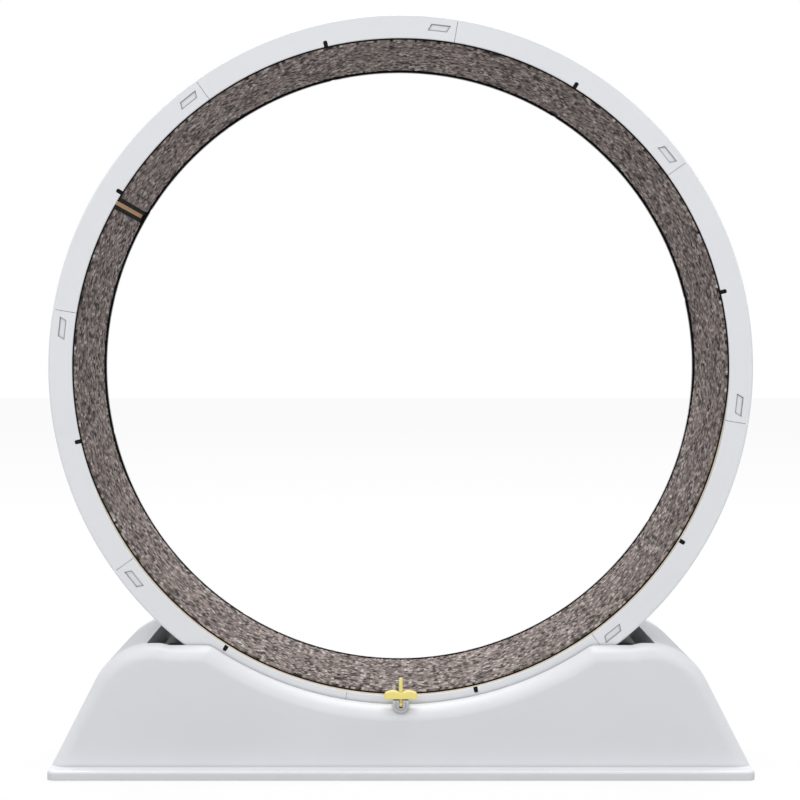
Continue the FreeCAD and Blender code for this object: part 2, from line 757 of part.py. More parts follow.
for side_name, place in (("left", -roller_x), ("right", roller_x)):
    roller(side_name, place)
export("cradle_screws", [screw(x, y, pocket_floor + cradle_foot_height, -1)
                         for x, y in cradle_screw_places()])

for number, (side, x, z) in enumerate(guide_places()):
    export(f"guide_button_{number + 1}", [guide_button(side, x, z)])
export("lock_bracket", [lock_bracket()])
export("lock_lever", [lock_lever()])
pin_reach = lock_width / 2 - pivot_pin_end
export("lock_pin", [rod_x(pivot_pin_radius, pivot_y, pivot_height, -pin_reach, pin_reach)])

print(f"roller centre {roller_x:.1f}, {roller_z:.1f}; base half length {base_half_length:.1f}, "
      f"half depth {base_half_depth:.1f}; carpet radius {carpet_radius:.1f}")
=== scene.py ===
# %% [markdown]
# # A carpet-lined exercise wheel
# The hoop is built of eight snap-together plastic segments. A thin board and a strip of loop-pile
# carpet line it, and it rolls on two long rubber rollers in a moulded tub base.
# The solids come from the CAD pack and keep their shape and place. This file gives them their finish,
# and makes the pieces whose shape is too fine for the CAD: the pile of the carpet, the overlocked
# thread round its edges, its stitches, the near-black blocks that paint the shade inside the notches
# and the board's pale edge.
# Everything is in metres, Z is up, X runs along the base, and -Y is the side with the wheel lock.

import json
import math

import bmesh
import bpy
import numpy as np
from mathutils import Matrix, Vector


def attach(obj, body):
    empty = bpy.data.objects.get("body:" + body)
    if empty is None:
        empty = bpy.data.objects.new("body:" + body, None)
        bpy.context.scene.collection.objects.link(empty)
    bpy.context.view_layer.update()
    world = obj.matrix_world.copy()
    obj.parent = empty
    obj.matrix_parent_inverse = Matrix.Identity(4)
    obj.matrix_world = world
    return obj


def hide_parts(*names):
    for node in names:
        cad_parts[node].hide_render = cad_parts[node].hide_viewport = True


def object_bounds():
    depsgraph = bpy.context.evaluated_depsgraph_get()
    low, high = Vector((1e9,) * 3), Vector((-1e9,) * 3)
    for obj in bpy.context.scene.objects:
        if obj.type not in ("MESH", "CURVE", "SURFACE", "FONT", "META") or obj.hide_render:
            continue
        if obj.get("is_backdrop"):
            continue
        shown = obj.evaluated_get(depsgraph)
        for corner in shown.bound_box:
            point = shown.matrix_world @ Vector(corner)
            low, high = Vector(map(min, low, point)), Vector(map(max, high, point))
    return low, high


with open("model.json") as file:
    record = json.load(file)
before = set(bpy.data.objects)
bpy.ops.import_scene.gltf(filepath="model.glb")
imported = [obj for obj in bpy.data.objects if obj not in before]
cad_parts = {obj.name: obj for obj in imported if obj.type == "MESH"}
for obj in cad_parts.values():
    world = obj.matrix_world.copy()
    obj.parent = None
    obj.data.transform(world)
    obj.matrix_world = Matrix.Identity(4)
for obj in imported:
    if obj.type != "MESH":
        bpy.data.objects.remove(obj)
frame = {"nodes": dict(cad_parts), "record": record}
cad_low, cad_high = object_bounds()
nodes = frame["nodes"]
print("CAD nodes:", len(nodes), "box:", [round(v, 4) for v in (*cad_low, *cad_high)])

# %% [markdown]
# ## Units and places
# The hoop's own sizes repeat here in metres, because the pieces made below lie inside it. Wheel angles
# are measured from straight down, growing towards +X, so that a strip can be laid by its angle.

# %% Sizes that the new pieces follow
MM = 0.001
AXIS_HEIGHT = 576 * MM
SEGMENTS = 8
BOARD_RADIUS = 466.5 * MM
CARPET_RADIUS = 463.5 * MM
MAT_HALF = 126.6 * MM            # half the width of the mat, bindings included
BINDING_WIDTH = 2.4 * MM
END_BINDING = 6.0 * MM
SEAM_GAP = 6.0 * MM
SEAM_ANGLE = math.radians(240)
CLEARANCE = 0.05 * MM            # keeps two faces that touch from sharing one place


def in_hoop(radius, angle, y):
    """Array of points inside the hoop from arrays of radius, wheel angle and place across."""
    radius, angle, y = np.broadcast_arrays(radius, angle, y)
    return np.stack([radius * np.sin(angle), y, AXIS_HEIGHT - radius * np.cos(angle)], axis=-1)


print("carpet surface length:", round(2 * math.pi * CARPET_RADIUS, 3), "m")

# %% [markdown]
# ## Colours and nodes
# Colours are written as the sRGB hex values that a paint chart or a picture editor shows. Shaders work
# in linear light, so one function converts them. A second small function adds a shader node, sets it
# up and links its inputs. It keeps the material cells short enough to read.

# %% Colour conversion and the node helper


def linear(hex_colour):
    """sRGB hex, such as "#E1E5EA", to linear RGBA."""
    channels = [int(hex_colour[i:i + 2], 16) / 255 for i in (1, 3, 5)]
    return [c / 12.92 if c <= 0.04045 else ((c + 0.055) / 1.055) ** 2.4 for c in channels] + [1.0]


def add(tree, kind, inputs=None, **settings):
    """Adds a node to a tree. inputs maps a socket to a value, or to the output that feeds it."""
    made = tree.nodes.new(kind)
    for name, value in settings.items():
        setattr(made, name, value)
    for socket, value in (inputs or {}).items():
        if isinstance(value, bpy.types.NodeSocket):
            tree.links.new(value, made.inputs[socket])
        else:
            made.inputs[socket].default_value = value
    return made


def start_material(name, roughness, ior):
    """New material whose Principled shader has its uniform values set on its own sockets."""
    material = bpy.data.materials.new(name)
    material.use_nodes = True
    shader = material.node_tree.nodes["Principled BSDF"]
    shader.inputs["Roughness"].default_value = roughness
    shader.inputs["IOR"].default_value = ior
    return material, material.node_tree, shader


def per_metre(millimetres):
    """Texture scale for a pattern whose repeat is that many millimetres."""
    return 1000 / millimetres


print("linear mid grey:", [round(c, 3) for c in linear("#808080")])

# %% [markdown]
# ## Moulded plastics
# Most of the object is injection-moulded. A mould with a fine spark-eroded texture gives a soft, even
# sheen with no sharp reflections. One function makes every such plastic, because they differ only in
# colour, gloss and how coarse the mould was. It could be one flat colour with one roughness, but then
# large faces look computer-made. Here a fine grain breaks up the highlight, a slow wave such as a
# moulding has where it shrank on its ribs bends it, and a darker painted shade is mixed into corners
# and seams, where shade falls.

# %% Materials: moulded plastics


def moulded(name, light, dark, painted_corner_shade, roughness, ior, grain_mm, wave_mm, corner_mm=5):
    """Injection-moulded plastic: two close tints, painted shade in corners, mould grain and shrinkage wave.
    """
    material, tree, shader = start_material(name, roughness, ior)
    place = add(tree, "ShaderNodeTexCoord").outputs["Object"]
    shade = add(tree, "ShaderNodeTexNoise", {"Vector": place, "Scale": per_metre(90), "Detail": 3.0})
    tint = add(tree, "ShaderNodeMix", {"Factor": shade.outputs["Fac"], "A": linear(dark),
                                       "B": linear(light)}, data_type="RGBA")
    # Painted shade: an occlusion mask mixes the darker shade colour into corners and seams, where shade
    # falls.
    corner = add(tree, "ShaderNodeAmbientOcclusion", {"Distance": corner_mm * MM}, samples=8)
    colour = add(tree, "ShaderNodeMix", {"Factor": corner.outputs["AO"], "A": linear(painted_corner_shade),
                                         "B": tint.outputs["Result"]}, data_type="RGBA")
    tree.links.new(colour.outputs["Result"], shader.inputs["Base Color"])
    # A spark texture is about 0.2 mm on the real part. It is drawn coarser, so that it shows.
    grain = add(tree, "ShaderNodeTexNoise", {"Vector": place, "Scale": per_metre(grain_mm), "Detail": 2.0})
    wave = add(tree, "ShaderNodeTexNoise", {"Vector": place, "Scale": per_metre(wave_mm), "Detail": 1.0})
    fine = add(tree, "ShaderNodeBump", {"Height": grain.outputs["Fac"], "Strength": 0.12,
                                        "Distance": 0.15 * MM})
    slow = add(tree, "ShaderNodeBump", {"Height": wave.outputs["Fac"], "Strength": 0.3,
                                        "Distance": 0.6 * MM, "Normal": fine.outputs["Normal"]})
    tree.links.new(slow.outputs["Normal"], shader.inputs["Normal"])
    return material


# Each call gives the light and the dark tint, the painted corner shade, roughness, IOR, and grain, wave and
# corner in mm.
rim_abs = moulded("rim_abs_spark_textured", "#ECEEF1", "#E7E9EC", "#A9ABAE", 0.42, 1.54, 1.6, 45)
base_abs = moulded("base_abs_spark_textured", "#E8E9EC", "#E2E3E7", "#B0B1B2", 0.38, 1.54, 1.6, 60)
grey_abs = moulded("lock_abs_light_grey", "#C3C5C8", "#BBBDC1", "#6E7074", 0.45, 1.54, 1.0, 12, 2)
yellow_acetal = moulded("lock_acetal_yellow", "#FFF29C", "#FBE876", "#A8742A", 0.30, 1.48, 1.0, 14, 3)
guide_acetal = moulded("guide_acetal_natural", "#ECEBE4", "#E4E3DC", "#A8A79F", 0.28, 1.48, 1.0, 14, 2)
core_pvc = moulded("roller_pvc_grey", "#75777A", "#6C6E71", "#3C3D3F", 0.48, 1.53, 1.2, 30, 3)
cradle_nylon = moulded("cradle_nylon_glass_filled", "#2B2B2D", "#222224", "#121213", 0.55, 1.53, 0.8, 20, 3)
print("plastics:", [m.name for m in (rim_abs, base_abs, grey_abs, yellow_acetal, guide_acetal, core_pvc,
                                     cradle_nylon)])

# %% [markdown]
# ## Rubber
# The roller sleeves are extruded EPDM, ground to size on a lathe. Grinding leaves very fine rings round
# the roller and a matt face. The feet are moulded from a softer rubber. A near-black rubber shader also
# paints the shade inside the lock notches, on small blocks. Rubber scatters light at its surface, so the
# roughness stays high and only a faint sheen shows at the edge.

# %% Materials: rubbers
RING_STRETCH = 8                 # a low scale across the axis draws the noise out into rings


def rubber(name, light, dark, roughness, ring_mm):
    """Rubber with rings left by grinding, round its own Y axis, and a bloom like fine dust."""
    material, tree, shader = start_material(name, roughness, 1.52)
    place = add(tree, "ShaderNodeTexCoord").outputs["Object"]
    bloom = add(tree, "ShaderNodeTexNoise", {"Vector": place, "Scale": per_metre(35), "Detail": 5.0})
    colour = add(tree, "ShaderNodeMix", {"Factor": bloom.outputs["Fac"], "A": linear(dark),
                                         "B": linear(light)}, data_type="RGBA")
    tree.links.new(colour.outputs["Result"], shader.inputs["Base Color"])
    # The grinding rings are about 0.3 mm apart on the real roller and are drawn coarser.
    squeezed = add(tree, "ShaderNodeMapping",
                   {"Vector": place, "Scale": (RING_STRETCH, per_metre(ring_mm), RING_STRETCH)})
    rings = add(tree, "ShaderNodeTexNoise", {"Vector": squeezed.outputs[0], "Scale": 1.0, "Detail": 3.0})
    bump = add(tree, "ShaderNodeBump", {"Height": rings.outputs["Fac"], "Strength": 0.35,
                                        "Distance": 0.2 * MM})
    tree.links.new(bump.outputs["Normal"], shader.inputs["Normal"])
    return material


sleeve_rubber = rubber("roller_epdm_ground", "#242527", "#18191A", 0.62, 1.6)
foot_rubber = rubber("foot_rubber_moulded", "#2C2C2C", "#1C1C1C", 0.75, 3.0)
# Near-black rubber shader that paints the shade inside the lock notches.
notch_shade_black = rubber("notch_painted_shade", "#101010", "#070707", 0.85, 2.0)
print("rubbers:", sleeve_rubber.name, foot_rubber.name, notch_shade_black.name)

# %% [markdown]
# ## Steels
# Shafts are ground bar, bearings are polished chrome steel and the screws are zinc-plated. The three
# differ in gloss and in how coarse their marks are, so each gets its own roughness and streaks.

# %% Materials: steels
STREAK_STRETCH = 30              # a low scale across the axis draws the noise out into streaks


def steel(name, light, dark, roughness, streak_mm):
    """Turned or plated steel with streaks round its own Y axis."""
    material, tree, shader = start_material(name, roughness, 2.5)
    shader.inputs["Metallic"].default_value = 1.0
    place = add(tree, "ShaderNodeTexCoord").outputs["Object"]
    squeezed = add(tree, "ShaderNodeMapping",
                   {"Vector": place, "Scale": (STREAK_STRETCH, per_metre(streak_mm), STREAK_STRETCH)})
    streaks = add(tree, "ShaderNodeTexNoise", {"Vector": squeezed.outputs[0], "Scale": 1.0, "Detail": 4.0})
    colour = add(tree, "ShaderNodeMix", {"Factor": streaks.outputs["Fac"], "A": linear(dark),
                                         "B": linear(light)}, data_type="RGBA")
    tree.links.new(colour.outputs["Result"], shader.inputs["Base Color"])
    bump = add(tree, "ShaderNodeBump", {"Height": streaks.outputs["Fac"], "Strength": 0.2,
                                        "Distance": 0.05 * MM})
    tree.links.new(bump.outputs["Normal"], shader.inputs["Normal"])
    return material


shaft_steel = steel("shaft_steel_ground", "#B9BABC", "#9FA0A3", 0.28, 0.8)
bearing_steel = steel("bearing_steel_polished", "#CFD0D2", "#BDBEC1", 0.14, 0.6)
screw_steel = steel("screw_steel_zinc_plated", "#C4C6C8", "#A3A7A6", 0.38, 0.7)
print("steels:", shaft_steel.name, bearing_steel.name, screw_steel.name)

# %% [markdown]
# ## Birch plywood
# The board under the carpet is bendable birch plywood, three plies thick. Its face grain runs across
# the width, so that it bends round the hoop. Its pale edge shows below the carpet's binding, and its
# face shows in the seam, where it has a warmer varnish.
# The rings of a wave texture would repeat too evenly. Noise stretched along the grain is closer.

# %% Materials: birch plywood, face and edge
GRAIN_REPEATS = (3, 60, 3)       # in mm: fine round the hoop, long across it

birch, tree, shader = start_material("board_birch_plywood", 0.5, 1.5)
place = add(tree, "ShaderNodeTexCoord").outputs["Object"]
stretched = add(tree, "ShaderNodeMapping",
                {"Vector": place, "Scale": [per_metre(repeat) for repeat in GRAIN_REPEATS]})
grain = add(tree, "ShaderNodeTexNoise", {"Vector": stretched.outputs[0], "Scale": 1.0, "Detail": 5.0,
                                         "Distortion": 0.4})
wood = add(tree, "ShaderNodeMix", {"Factor": grain.outputs["Fac"], "A": linear("#C98545"),
                                   "B": linear("#F2CB93")}, data_type="RGBA")
tree.links.new(wood.outputs["Result"], shader.inputs["Base Color"])
pores = add(tree, "ShaderNodeBump", {"Height": grain.outputs["Fac"], "Strength": 0.4, "Distance": 0.2 * MM})
tree.links.new(pores.outputs["Normal"], shader.inputs["Normal"])

birch_edge, tree, shader = start_material("board_birch_plywood_edge", 0.6, 1.5)
place = add(tree, "ShaderNodeTexCoord").outputs["Object"]
speck = add(tree, "ShaderNodeTexNoise", {"Vector": place, "Scale": per_metre(4), "Detail": 4.0})
wood = add(tree, "ShaderNodeMix", {"Factor": speck.outputs["Fac"], "A": linear("#E4D2AE"),
                                   "B": linear("#F8EDD4")}, data_type="RGBA")
tree.links.new(wood.outputs["Result"], shader.inputs["Base Color"])
pores = add(tree, "ShaderNodeBump", {"Height": speck.outputs["Fac"], "Strength": 0.4, "Distance": 0.2 * MM})
tree.links.new(pores.outputs["Normal"], shader.inputs["Normal"])
print("woods:", birch.name, birch_edge.name)

# %% [markdown]
# ## Loop-pile carpet
# The carpet is heathered: dark brown, mid and light strands are tufted side by side, so that each loop
# has a shade of its own. The mesh below stores that shade with each loop, as a point attribute, so that
# colour and shape agree. The shades run evenly from the darkest strand to the lightest, and a few
# strands are undyed white. Twisted fibre shows as a finer fleck on top. A weak sheen term gives the soft
# brightening of wool-like pile at grazing angles, which a high roughness alone doesn't.

# %% Material: heathered loop pile
UNDYED_FROM = 0.999              # shades above this are the undyed strands

pile, tree, shader = start_material("carpet_loop_pile_heathered", 0.95, 1.5)
shader.inputs["Sheen Weight"].default_value = 0.05
shader.inputs["Sheen Roughness"].default_value = 0.5
shade = add(tree, "ShaderNodeAttribute", attribute_name="loop_shade")
heather = add(tree, "ShaderNodeValToRGB", {"Fac": shade.outputs["Fac"]})
stops = heather.color_ramp.elements
stops[0].color = linear("#1C100E")
stops.new(UNDYED_FROM).color = linear("#F0DCD4")
stops[-1].color = linear("#FFFFFF")
flat = add(tree, "ShaderNodeUVMap", uv_map="metres")
# The fleck of single twisted fibres is about 0.5 mm and is drawn at 1.4 mm.
fleck = add(tree, "ShaderNodeTexNoise", {"Vector": flat.outputs["UV"], "Scale": per_metre(1.4),
                                         "Detail": 2.0})
speckled = add(tree, "ShaderNodeMix", {"Factor": fleck.outputs["Fac"], "A": linear("#8A8A8A"),
                                       "B": linear("#FFFFFF")}, data_type="RGBA")
mixed = add(tree, "ShaderNodeMix", {"Factor": 1.0, "A": heather.outputs["Color"],
                                    "B": speckled.outputs["Result"]}, data_type="RGBA", blend_type="MULTIPLY")
# Between the loops the eye looks into the depth of the pile, where next to no light comes back out.
depth = add(tree, "ShaderNodeAttribute", attribute_name="loop_height")
open_share = add(tree, "ShaderNodeMapRange", {"Value": depth.outputs["Fac"], "From Min": 0.05,
                                              "From Max": 0.6, "To Min": 0.22, "To Max": 1.0})
deep = add(tree, "ShaderNodeMix", {"Factor": open_share.outputs[0], "A": linear("#0E0A09"),
                                   "B": mixed.outputs["Result"]}, data_type="RGBA")
tree.links.new(deep.outputs["Result"], shader.inputs["Base Color"])
fibre = add(tree, "ShaderNodeBump", {"Height": fleck.outputs["Fac"], "Strength": 0.6, "Distance": 0.5 * MM})
tree.links.new(fibre.outputs["Normal"], shader.inputs["Normal"])
print("carpet:", pile.name, "stops:", [round(stop.position, 3) for stop in stops])

# %% [markdown]
# ## Overlock thread
# The bindings and stitches are black polyester thread. Its fibres scatter what they reflect, so the
# thread is rough and its highlight is held back. It could be pure black, but then its ridges wouldn't
# show.

# %% Material: overlock thread
thread, tree, shader = start_material("thread_polyester_black", 0.9, 1.55)
shader.inputs["Specular IOR Level"].default_value = 0.2
place = add(tree, "ShaderNodeTexCoord").outputs["Object"]
twist = add(tree, "ShaderNodeTexNoise", {"Vector": place, "Scale": per_metre(1.0), "Detail": 2.0})
colour = add(tree, "ShaderNodeMix", {"Factor": twist.outputs["Fac"], "A": linear("#060607"),
                                     "B": linear("#141314")}, data_type="RGBA")
tree.links.new(colour.outputs["Result"], shader.inputs["Base Color"])
bump = add(tree, "ShaderNodeBump", {"Height": twist.outputs["Fac"], "Strength": 0.5, "Distance": 0.3 * MM})
tree.links.new(bump.outputs["Normal"], shader.inputs["Normal"])
print("thread:", thread.name)

# %% [markdown]
# ## Materials on the CAD solids
# Each CAD node names its material slot in the record. The table below gives the slot its material, and
# the loop puts that on the node. Solids that the textile pieces stand for get theirs as well, though
# they don't show.

# %% Put the materials on the nodes
finish_of = {
    "rim_plastic": rim_abs, "base_plastic": base_abs, "running_board": birch, "carpet": pile,
    "binding_tape": thread, "roller_rubber": sleeve_rubber, "roller_plastic": core_pvc,
    "cradle_plastic": cradle_nylon, "shaft_steel": shaft_steel, "bearing_steel": bearing_steel,
    "screw_steel": screw_steel, "foot_rubber": foot_rubber, "guide_plastic": guide_acetal,
    "lock_grey": grey_abs, "lock_yellow": yellow_acetal,
}
for row in frame["record"]["subparts"]:
    solid = nodes[row["node"]]
    solid.data.materials.clear()
    solid.data.materials.append(finish_of[row["material_slot"]])

# %% [markdown]
# ## A strip laid in the hoop
# Carpet, bindings, stitches, notch shade blocks and board edge are all closed tubes. Each is a grid of
# stations, and every station is a closed loop of points, so one function turns any such grids into one
# mesh with end caps, and lets it turn with the wheel.
# The board is springy and the mat lies loose on it, so in the lower half of the hoop the mat stands
# a little further in. `mat_lift` gives that rise.

# %% Strip mesh and the rise of the mat
LIFT = 1.7 * MM
LIFT_MIDDLE = math.radians(8)
LIFT_HALF = math.radians(68)
LIFT_FADE = math.radians(14)


def mat_lift(angle):
    """Rise of the mat above its place in the upper half, for an array of wheel angles in radians."""
    away = np.abs((angle - LIFT_MIDDLE + np.pi) % (2 * np.pi) - np.pi)
    share = np.clip((LIFT_HALF + LIFT_FADE - away) / LIFT_FADE, 0, 1)
    return LIFT * share * share * (3 - 2 * share)


def strip(name, grids, material, smooth=True):
    """One piece from grids of points (stations, points round the section, 3), each closed by caps."""
    corners, faces = [], []
    for points in grids:
        stations, around, _ = points.shape
        index = len(corners) + np.arange(stations * around).reshape(stations, around)
        near, ahead = index[:-1], index[1:]
        quads = np.stack([near, ahead, np.roll(ahead, -1, 1), np.roll(near, -1, 1)], axis=-1)
        faces += quads.reshape(-1, 4).tolist() + [index[0].tolist(), index[-1][::-1].tolist()]
        corners += points.reshape(-1, 3).tolist()
    mesh = bpy.data.meshes.new(name)
    mesh.from_pydata(corners, [], faces)
    shell = bmesh.new()
    shell.from_mesh(mesh)
    bmesh.ops.recalc_face_normals(shell, faces=shell.faces)
    shell.to_mesh(mesh)
    shell.free()
    mesh.polygons.foreach_set("use_smooth", np.full(len(mesh.polygons), smooth))
    mesh.materials.append(material)
    made = bpy.data.objects.new(name, mesh)
    bpy.context.scene.collection.objects.link(made)
    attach(made, "wheel")
    return made


print("the mat rises", round(LIFT / MM, 1), "mm in the lower half")

# %% [markdown]
# ## The tufts
# The loops stand in rows, one tuft every 5 mm or so, each with its own height and shade. A particle
# system would make real fibres, but a loop pile has none to see at this distance, and a flat strip with
# bump alone has a straight edge against the binding. So the loops are in the mesh: a tuft is a small
# dome, and the strip's edges roll down to the binding.
# Tufts beside each other across the strip often come from one strand, so some shades go in pairs.

# %% Draw the tufts' places, heights and shades
TUFT_ALONG = 4.8 * MM
TUFT_ACROSS = 6.6 * MM
TUFT_DRIFT = 0.32                # how far a tuft strays, as a share of its pitch
LOWEST_TUFT = 0.45               # height of the lowest tuft, as a share of the highest
STRAND_SHADES = [0.05, 0.3, 0.5, 0.75, 1.0]
STRAND_SHARES = [0.2, 0.25, 0.25, 0.18, 0.12]
SAME_STRAND = 0.3                # share of every second tuft that repeats its neighbour's strand
SHADE_SPREAD = 0.07
SPARE_ROWS = 6                   # tufts beyond the strip's edges, so that the edges find neighbours

pile_half = MAT_HALF - BINDING_WIDTH
ends = (SEAM_GAP / 2 + END_BINDING) / BOARD_RADIUS
pile_length = (2 * math.pi - 2 * ends) * BOARD_RADIUS
rows_of_tufts = int(pile_length / TUFT_ALONG) + SPARE_ROWS
tufts_across = int(2 * pile_half / TUFT_ACROSS) + SPARE_ROWS

random = np.random.default_rng(5)
drift = random.uniform(-TUFT_DRIFT, TUFT_DRIFT, (rows_of_tufts, tufts_across, 2))
height = random.uniform(LOWEST_TUFT, 1.0, (rows_of_tufts, tufts_across))
strand = random.choice(STRAND_SHADES, (rows_of_tufts, tufts_across), p=STRAND_SHARES)
odd_tufts = strand[:, 1::2]
strand[:, 1::2] = np.where(random.random(odd_tufts.shape) < SAME_STRAND, strand[:, :-1:2], odd_tufts)
strand = np.clip(strand + random.normal(0, SHADE_SPREAD, strand.shape), 0, 1)
print("tufts:", strand.size, "mean shade:", round(float(strand.mean()), 3))

# %% [markdown]
# ## From tufts to a surface
# Every point of the strip's fine mesh looks at the nine tufts round it. The highest dome gives its
# height, and the nearest tuft gives its shade.

# %% Height and shade at every point of the pile
MESH_STEP = 1.9 * MM
TUFT_REACH = 0.8                 # radius of a tuft's dome, as a share of its pitch
FAR_AWAY = 9.0
MID_SHADE = 0.3

stations = int(pile_length / MESH_STEP)
columns = int(2 * pile_half / MESH_STEP)
angle = SEAM_ANGLE + ends + np.linspace(0, 2 * math.pi - 2 * ends, stations)
across = np.linspace(-pile_half, pile_half, columns)
along_grid, across_grid = np.meshgrid((angle - SEAM_ANGLE) * BOARD_RADIUS, across, indexing="ij")
cell_along = along_grid / TUFT_ALONG + 1
cell_across = (across_grid + pile_half) / TUFT_ACROSS + 1
rise = np.zeros_like(cell_along)
shade = np.full_like(cell_along, MID_SHADE)
nearest = np.full_like(cell_along, FAR_AWAY)
for step_along in (-1, 0, 1):
    for step_across in (-1, 0, 1):
        row = np.clip(np.floor(cell_along).astype(int) + step_along, 0, rows_of_tufts - 1)
        column = np.clip(np.floor(cell_across).astype(int) + step_across, 0, tufts_across - 1)
        off_along = cell_along - (row + 0.5 + drift[row, column, 0])
        off_across = cell_across - (column + 0.5 + drift[row, column, 1])
        distance = np.hypot(off_along, off_across)
        dome = height[row, column] * np.clip(1 - (distance / TUFT_REACH) ** 2, 0, 1)
        rise = np.maximum(rise, dome)
        closer = distance < nearest
        nearest = np.where(closer, distance, nearest)
        shade = np.where(closer, strand[row, column], shade)
print("pile grid:", rise.shape, "mean height:", round(float(rise.mean()), 3))

# %% [markdown]
# ## The pile as one closed strip
# The top follows the tufts, the underside lies on the board. Height and shade go into the mesh as point
# attributes, and the flat place in metres as its UV map, because the fleck of the fibre is drawn on the
# carpet as it came off the roll.

# %% Make the loop-pile strip
LOOP_RISE = 1.7 * MM
EDGE_ROLL = 3.0 * MM
EDGE_THICKNESS = 0.35            # share of the backing's thickness that is left at the rolled edge

edge = np.clip((pile_half - np.abs(across_grid)) / EDGE_ROLL, 0, 1)
end_distance = np.minimum(along_grid - along_grid[0], along_grid[-1] - along_grid)
edge = np.minimum(edge, np.clip(end_distance / EDGE_ROLL, 0, 1))
roll = np.sqrt(np.clip(1 - (1 - edge) ** 2, 0, 1))
backing = (BOARD_RADIUS - CARPET_RADIUS) * (EDGE_THICKNESS + (1 - EDGE_THICKNESS) * roll)
top_radius = BOARD_RADIUS - mat_lift(angle)[:, None] - backing - LOOP_RISE * rise * roll
top = in_hoop(top_radius, angle[:, None], across_grid)
under = in_hoop(BOARD_RADIUS - CLEARANCE, angle[:, None], np.array([[pile_half, -pile_half]]))
carpet = strip("carpet_pile", [np.concatenate([top, under], axis=1)], pile)

mesh = carpet.data
for attribute_name, values in (("loop_shade", shade), ("loop_height", rise)):
    attribute = mesh.attributes.new(attribute_name, "FLOAT", "POINT")
    whole = np.concatenate([values, values[:, -2:]], axis=1)
    attribute.data.foreach_set("value", whole.reshape(-1).astype(np.float32))
flat_along = np.concatenate([along_grid, along_grid[:, -2:]], axis=1)
flat_across = np.concatenate([across_grid, across_grid[:, [-1, 0]]], axis=1)
flat_place = np.stack([flat_along, flat_across], axis=-1).reshape(-1, 2)
corner_points = np.empty(len(mesh.loops), int)
mesh.loops.foreach_get("vertex_index", corner_points)
layer = mesh.uv_layers.new(name="metres")
layer.data.foreach_set("uv", flat_place[corner_points].reshape(-1).astype(np.float32))
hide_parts("carpet_runner")
print("pile:", len(mesh.vertices), "points, flat size in m:", round(pile_length, 3), round(2 * pile_half, 4))

# %% [markdown]
# ## Overlocked edges
# Thread is wrapped round the carpet's edges, side by side, as a carpet shop's overlock machine does it.
# A plain black tape would be a smooth line. The wraps make it a row of small slanted ridges, which
# catch the light one by one. The section is a rounded block, and the ridges are a wave that runs
# along the strip and round the section, so they slant. At the back the binding is taller, because
# there the edge of the carpet turns up against the rear face of the hoop.

# %% Section and wrap of a binding
WRAP_PITCH = 3.4 * MM
WRAP_RISE = 0.28 * MM
BLOCKINESS = 0.5                 # 1 is an ellipse, and the nearer to 0, the squarer the section


def wrapped_section(width, height, count=12):
    """Rounded block of a binding as offsets across and up, and the angle of each point round it."""
    turn = np.linspace(0, 2 * math.pi, count, endpoint=False)
    side = np.sign(np.cos(turn)) * np.abs(np.cos(turn)) ** BLOCKINESS
    up = np.sign(np.sin(turn)) * np.abs(np.sin(turn)) ** BLOCKINESS
    return side * (width / 2 - WRAP_RISE), up * (height / 2 - WRAP_RISE), turn


def wrap_wave(distance, turn):
    """How far the thread stands out, 0 to the wrap's rise."""
    return WRAP_RISE * np.abs(np.cos(math.pi * distance / WRAP_PITCH + turn / 2))


print("wraps round one edge:", int(2 * math.pi * BOARD_RADIUS / WRAP_PITCH))

# %% Make the overlocked bindings
BINDING_HEIGHT = 2.3 * MM
REAR_BINDING_HEIGHT = 7.2 * MM
REAR_SEAM = 0.3 * MM
STATION_STEP = 0.85 * MM
END_POINTS = 20                  # points round the section of the wider end bindings

# The front binding leaves the seam open, and the rear one is closed over it.
for side_name, side, height, follows, seam in (("front", -1, BINDING_HEIGHT, 1, SEAM_GAP),
                                               ("rear", 1, REAR_BINDING_HEIGHT, 0, REAR_SEAM)):
    gap = seam / 2 / BOARD_RADIUS
    long_angle = SEAM_ANGLE + gap + np.linspace(0, 2 * math.pi - 2 * gap,
                                                int(2 * math.pi * BOARD_RADIUS / STATION_STEP))
    offset, up, turn = wrapped_section(BINDING_WIDTH, height)
    wave = wrap_wave((long_angle * BOARD_RADIUS)[:, None], turn[None, :])
    y = side * (MAT_HALF - BINDING_WIDTH / 2) + offset + wave * np.cos(turn)
    height_above = height / 2 + up + wave * np.sin(turn)
    radius = BOARD_RADIUS - follows * mat_lift(long_angle)[:, None] - height_above
    piece = strip(f"overlock_{side_name}", [in_hoop(radius, long_angle[:, None], y)], thread)
    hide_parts(f"edge_binding_{side_name}")

for end_name, sign in (("start", 1), ("end", -1)):
    offset, up, turn = wrapped_section(END_BINDING, BINDING_HEIGHT, END_POINTS)
    across = np.linspace(-pile_half, pile_half, int(2 * pile_half / STATION_STEP))
    wave = wrap_wave(across[:, None], turn[None, :])
    middle = SEAM_ANGLE + sign * (SEAM_GAP / 2 + END_BINDING / 2) / BOARD_RADIUS
    place_angle = middle + (offset + wave * np.cos(turn)) / BOARD_RADIUS
    radius = BOARD_RADIUS - (BINDING_HEIGHT / 2 + up + wave * np.sin(turn))
    piece = strip(f"overlock_{end_name}", [in_hoop(radius, place_angle, across[:, None])], thread)
    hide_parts("end_bindings")

# %% [markdown]
# ## Stitches across the ends
# A row of stitches holds each end of the carpet to the board, 17 mm from its binding. Each stitch is
# a short arched bar of thread that dips into the pile at both ends.

# %% Make the hem stitches
STITCH_LENGTH = 4.2 * MM
STITCH_PITCH = 5.6 * MM
STITCH_RADIUS = 0.55 * MM
STITCH_ARCH = 0.9 * MM
STITCH_FROM_BINDING = 17 * MM
BLUNT_TIP = 1.02                 # a little over 1, so that the bar keeps some thickness at its tips

